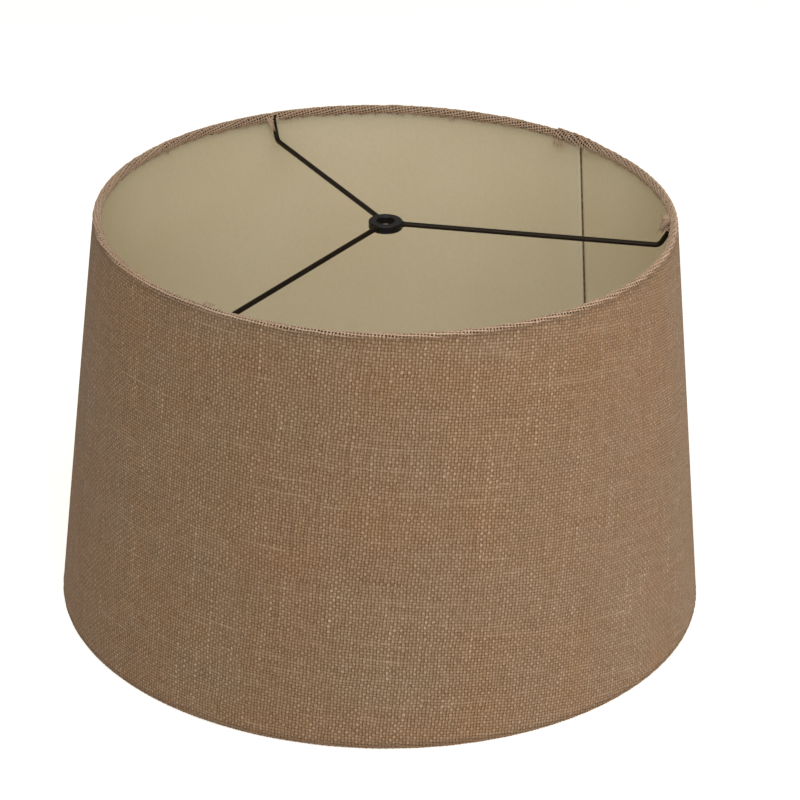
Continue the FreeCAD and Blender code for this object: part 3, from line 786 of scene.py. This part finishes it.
def woven_rim(name, top):
    """Yarns of one hem: over the roll and down to the raw edge, sinking into the wall."""
    warps, wefts = Strands(5), Strands(5)
    reach = ROLL + HEM
    if top:
        first, last = -reach, SINK_START + ONTO_WALL
    else:
        first, last = WALL_LENGTH - SINK_START - ONTO_WALL, WALL_LENGTH + reach

    def sink(t):
        beyond = t - SINK_START if top else WALL_LENGTH - SINK_START - t
        return -SINK_RATE * np.clip(beyond, 0, None)

    def near_wall(t):
        onto = t if top else WALL_LENGTH - t
        return smooth((onto + MARK_BEFORE) / MARK_LENGTH)

    def inside(azimuth, t):
        trim = edge_trim(azimuth)
        low = first + trim if top else first
        high = last if top else last - 0.5 * trim
        start = CLOTH_START
        if not top:
            start = np.where(t > WALL_LENGTH, FOOT_HEM_START, CLOTH_START)
        on_hem = (t >= low) & (t <= high) & (azimuth >= start) & (azimuth <= SHEET_END)
        return on_hem & ~slit(azimuth, t) if top else on_hem

    def yarns(strands, index, x, y, is_weft):
        azimuth, t = sheet_place(x, y)
        keep = inside(azimuth, t)
        runs = np.flatnonzero(np.diff(np.concatenate([[0], keep.astype(int), [0]])))
        noise = np.random.default_rng(1000 + index * 2 + is_weft)
        thick = noise.uniform(0.82, 1.12)
        crossing = x / WARP_PITCH if is_weft else y / WEFT_PITCH
        parity = -1.0 if index % 2 else 1.0
        wave = parity * np.cos(math.pi * (crossing - 0.5)) * (-1.0 if is_weft else 1.0)
        swell = drift(noise, len(x), 12, 1.0, 0.09)
        astray = drift(noise, len(x), 9, 0.0, YARN_WANDER)
        for a, b in zip(runs[::2], runs[1::2]):
            if b - a < 4:
                continue
            s = slice(a, b)
            over_roll = np.clip(-t[s] / ROLL * 3, 0, 1)
            puff = YARN_PUFF * rim_puff(np.radians(azimuth[s])) * over_roll
            h = wave[s] * YARN_RISE + sink(t[s]) + puff
            if is_weft:
                place, normal = on_sheet(azimuth[s], t[s] + astray[s], h)
            else:
                place, normal = on_sheet(azimuth[s] + np.degrees(astray[s] / TOP_R), t[s], h)
            flat = np.stack([x[s], y[s], is_weft + WALL_MARK * near_wall(t[s])], -1)
            strands.add(
                place, normal, YARN_HALF_WIDTH * thick * swell[s], YARN_HALF_HEIGHT * thick, flat
            )

    step = WEFT_PITCH / SAMPLES_PER_PITCH
    furthest = max(SHEET_END - GRAIN_AZIMUTH, GRAIN_AZIMUTH - CLOTH_START)
    half_turn = math.radians(furthest) * math.sin(TILT)
    rho_low, rho_high = APEX + first - 2 * MM, APEX + last + 2 * MM
    x_most = rho_high * math.sin(half_turn)
    for index in range(int(-x_most // WARP_PITCH) - 1, int(x_most // WARP_PITCH) + 2):
        x0 = (index + 0.5) * WARP_PITCH
        y_low = math.sqrt(max(rho_low**2 - x0**2, 0))
        y_high = math.sqrt(max(rho_high**2 - x0**2, 0))
        y = np.arange(y_low, y_high, step)
        yarns(warps, index, np.full_like(y, x0), y, 0)
    y_least = rho_low * math.cos(half_turn)
    for index in range(int(y_least // WEFT_PITCH) - 1, int(rho_high // WEFT_PITCH) + 2):
        y0 = (index + 0.5) * WEFT_PITCH
        if y0 > rho_high:
            continue
        x_far = math.sqrt(rho_high**2 - y0**2)
        x_near = math.sqrt(max(rho_low**2 - y0**2, 0))
        x_far = min(x_far, x_most + WARP_PITCH)
        for x in (np.arange(-x_far, -x_near, step), np.arange(x_near, x_far, step)):
            if len(x) > 4:
                yarns(wefts, index, x, np.full_like(x, y0), 1)
    material = YARN if top else FOOT_YARN
    return warps.build(f"{name}_warps", material), wefts.build(f"{name}_wefts", material)


# a dark band painted as the shade in the depth of the cloth, between the top hem's yarns
DEPTH_COLUMNS = 1600
DEPTH_THICK = 0.12 * MM
DEPTH_SHORT = 0.8 * MM
hem_azimuth = np.linspace(CLOTH_START, SHEET_END, DEPTH_COLUMNS)
hem_start = -(ROLL + HEM) + edge_trim(hem_azimuth) + EDGE_INSET
hem_start = np.where(slit(hem_azimuth, hem_start), -SLIT_FROM * ROLL, hem_start)
top_depth = sheet_band(
    "top_hem_shade", CLOTH_START, SHEET_END, columns=DEPTH_COLUMNS, rows=26,
    face_in=-CLOTH / 2, face_out=-CLOTH / 2 + DEPTH_THICK, material=HEM_SHADE,
    start=hem_start, end=-DEPTH_SHORT,
)

top_warps, top_wefts = woven_rim("top_hem", True)
foot_warps, foot_wefts = woven_rim("foot_hem", False)

# ------------------------------------------------------------------ frayed edges
DOWN_WALL = np.array([math.sin(TILT), -math.cos(TILT)])
# degrees between one fibre of the fringe and the next
FRINGE_STEP = 0.5


def loose_strand(strands, noise, azimuth, t, length, lean, stand, thick, curl, up=False):
    """One loose end: leaves the cloth at (azimuth, t), hangs and leans along the rim.

    lean is the slope along the rim towards larger azimuths; stand is how far the tip
    comes off the wall, towards the axis; up turns it upwards, for the lower rim.
    """
    start, _ = on_sheet(azimuth, t, 0.0)
    a = math.radians(azimuth)
    outward = np.array([math.cos(a), math.sin(a), 0.0])
    around = np.array([-math.sin(a), math.cos(a), 0.0])
    way = outward * DOWN_WALL[0] + np.array([0, 0, DOWN_WALL[1]])
    if up:
        way = -way
    s = np.linspace(0, 1, 7)[:, None]
    # only the first of the two draws bends the strand
    bend, _ = curl * noise.normal(0, 1, 2)
    path = (
        start
        + way * length * s
        + around * (lean * length * s + bend * length * s * s)
        - outward * stand * s * (1.4 - 0.4 * s)
    )
    flat = np.append(flat_place(azimuth, t), 2.0)
    radius = thick * np.linspace(1.0, 0.35, 7)
    strands.add(path, outward, radius, radius * 0.8, np.tile(flat, (7, 1)))


def fringe(strands, seed, top):
    """Short fibres all along a raw edge."""
    noise = np.random.default_rng(seed)
    start = CLOTH_START if top else FOOT_HEM_START + 0.2
    for azimuth in np.arange(start + 0.2, SHEET_END - 0.2, FRINGE_STEP):
        azimuth += noise.uniform(-0.2, 0.2)
        cut = float(edge_trim(np.asarray(azimuth)))
        t = -(ROLL + HEM) + cut if top else WALL_LENGTH + ROLL + HEM - 0.5 * cut
        t += EDGE_INSET if top else -EDGE_INSET
        if top and bool(slit(np.asarray(azimuth), np.asarray(t))):
            continue
        many = 0.5 + 0.5 * math.sin(azimuth * 0.31 + 2 * math.sin(azimuth * 0.11))
        if noise.random() > 0.35 + 0.6 * many:
            continue
        length = noise.uniform(0.9, 1.9) * MM * (0.7 + 0.6 * many)
        loose_strand(
            strands, noise, azimuth, t, length, noise.normal(0, 0.45),
            noise.uniform(-0.2, 0.4) * MM, noise.uniform(0.10, 0.24) * MM, 0.25, up=not top,
        )


def tuft(strands, seed, azimuth, inset, width, count, length, lean, stand, thick):
    """A few yarn ends that hang together, width degrees wide; lengths in millimetres."""
    noise = np.random.default_rng(seed)
    t = -(ROLL + HEM) + inset * MM
    for k in range(count):
        place = azimuth + width * ((k + 0.5) / count - 0.5)
        loose_strand(
            strands, noise, place, t + noise.uniform(-0.3, 0.3) * MM,
            length * MM * noise.uniform(0.7, 1.1), lean + noise.normal(0, 0.10),
            stand * MM * noise.uniform(0.7, 1.3), thick * MM * noise.uniform(0.6, 1.1), 0.10,
        )


def polar(azimuth, r, z):
    a = math.radians(azimuth)
    return np.array([r * math.cos(a), r * math.sin(a), z])


def flap(strands, seed, arm, begin, end, count, half):
    """Torn corner of the hem beside an arm: side-by-side yarns with a few across them.

    begin and end say where the yarns start and stop: first and last offset from the arm in
    degrees, then millimetres in from the top ring and up from it. half is a yarn's half width.
    """
    noise = np.random.default_rng(seed)
    outward = polar(arm, 1.0, 0.0)
    half = half * MM

    def edge(where, f):
        first, last, inwards, up = where
        return polar(arm + first + (last - first) * f, TOP_R - inwards * MM, TOP_Z + up * MM)

    rows = []
    for k in range(count):
        f = (k + 0.5) / count
        first = edge(begin, f)
        reach = noise.uniform(0.72, 1.0)
        last = first + (edge(end, f) - first) * reach
        middle = (first + last) / 2 - outward * noise.uniform(0.3, 0.9) * MM
        s = np.linspace(0, 1, 8)[:, None]
        path = first * (1 - s) ** 2 + 2 * middle * s * (1 - s) + last * s**2
        rows.append(path)
        flat = np.append(flat_place(arm + begin[0], -0.5 * ROLL + k * WARP_PITCH), 0.0)
        taper = half * np.array([1, 1, 1, 0.95, 0.9, 0.8, 0.6, 0.35])
        strands.add(path, outward, taper, taper * 0.6, np.tile(flat, (8, 1)))
    for step in (2, 4, 5):
        path = np.array([row[step] for row in rows]) - outward * 0.25 * MM
        if count > 2:
            flat = np.append(flat_place(arm, step * WEFT_PITCH), 1.0)
            strands.add(path, outward, half * 0.8, half * 0.5, np.tile(flat, (count, 1)))


# at the lap's end, beside the inner seam and at two thin places of the hem:
# seed, azimuth, inset, width, count, length, lean, stand, thick
TUFTS = (
    (44, 410.0, 4.5, 2.4, 9, 5.2, -0.10, 1.3, 0.50),
    (45, 411.1, 4.0, 0.8, 4, 5.0, 0.35, 1.6, 0.46),
    (46, 403.2, 5.0, 0.5, 3, 6.4, -0.60, 1.2, 0.36),
    (47, 143.8, 3.0, 1.0, 3, 3.0, 0.3, 0.6, 0.3),
    (48, 76.2, 3.0, 1.4, 4, 2.6, 0.2, 0.6, 0.3),
)
# the hem is torn where the arms come through it, most of all at the right arm:
# seed, arm, begin, end, count, half
FLAPS = (
    (51, ARM_BACK, (0.55, 1.9, 2.2, 0.6), (0.25, 1.0, 6.2, -8.6), 5, 0.36),
    (52, ARM_BACK, (-0.9, -0.5, 2.4, 0.0), (-0.9, -0.4, 3.6, -4.2), 2, 0.30),
    (53, ARM_RIGHT, (0.9, 3.6, 2.4, 0.4), (0.8, 2.8, 9.8, -9.2), 6, 0.50),
    (56, ARM_RIGHT, (0.9, 3.0, 2.2, -1.2), (0.8, 2.4, 7.4, -8.8), 5, 0.50),
    (57, ARM_RIGHT, (1.2, 3.4, 3.0, 0.8), (1.0, 3.0, 9.2, -6.4), 5, 0.46),
    (54, ARM_RIGHT, (2.0, 4.0, 2.4, 1.0), (2.0, 4.6, 8.4, 0.0), 5, 0.44),
    (58, ARM_RIGHT, (1.6, 3.6, 2.6, 0.2), (1.8, 4.0, 7.6, -1.8), 5, 0.44),
    (55, ARM_FRONT, (-1.6, 1.6, 2.0, 1.2), (-1.0, 1.4, 6.8, 2.0), 6, 0.32),
)
frayed = Strands(5)
fringe(frayed, 31, True)
fringe(frayed, 32, False)
for row in TUFTS:
    tuft(frayed, *row)
for row in FLAPS:
    flap(frayed, *row)
frayed_ends = frayed.build("frayed_ends", YARN)

# ------------------------------------------------------------------ bodies, and hiding the CAD cover and liner
cloth_pieces = [top_depth, top_warps, top_wefts, foot_warps, foot_wefts, frayed_ends]
for piece in [cover, *cloth_pieces]:
    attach(piece, "root")
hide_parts("burlap_cover")
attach(liner, "root")
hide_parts("liner_panel")

# ------------------------------------------------------------------ CAD pieces that stay
CAD_LOOKS = {
    "top_ring": RING_PAINT,
    "bottom_ring": RING_PAINT,
    "seam_tape": TAPE_FILM,
    "spider_washer": HUB_PAINT,
    "spider_arm_back_left": ARM_PAINT,
    "spider_arm_front_left": ARM_PAINT,
    "spider_arm_right": ARM_PAINT,
    "hub_weld_beads": ARM_PAINT,
    "ring_weld_beads": ARM_PAINT,
}
for name, material in CAD_LOOKS.items():
    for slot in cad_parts[name].material_slots:
        slot.material = material
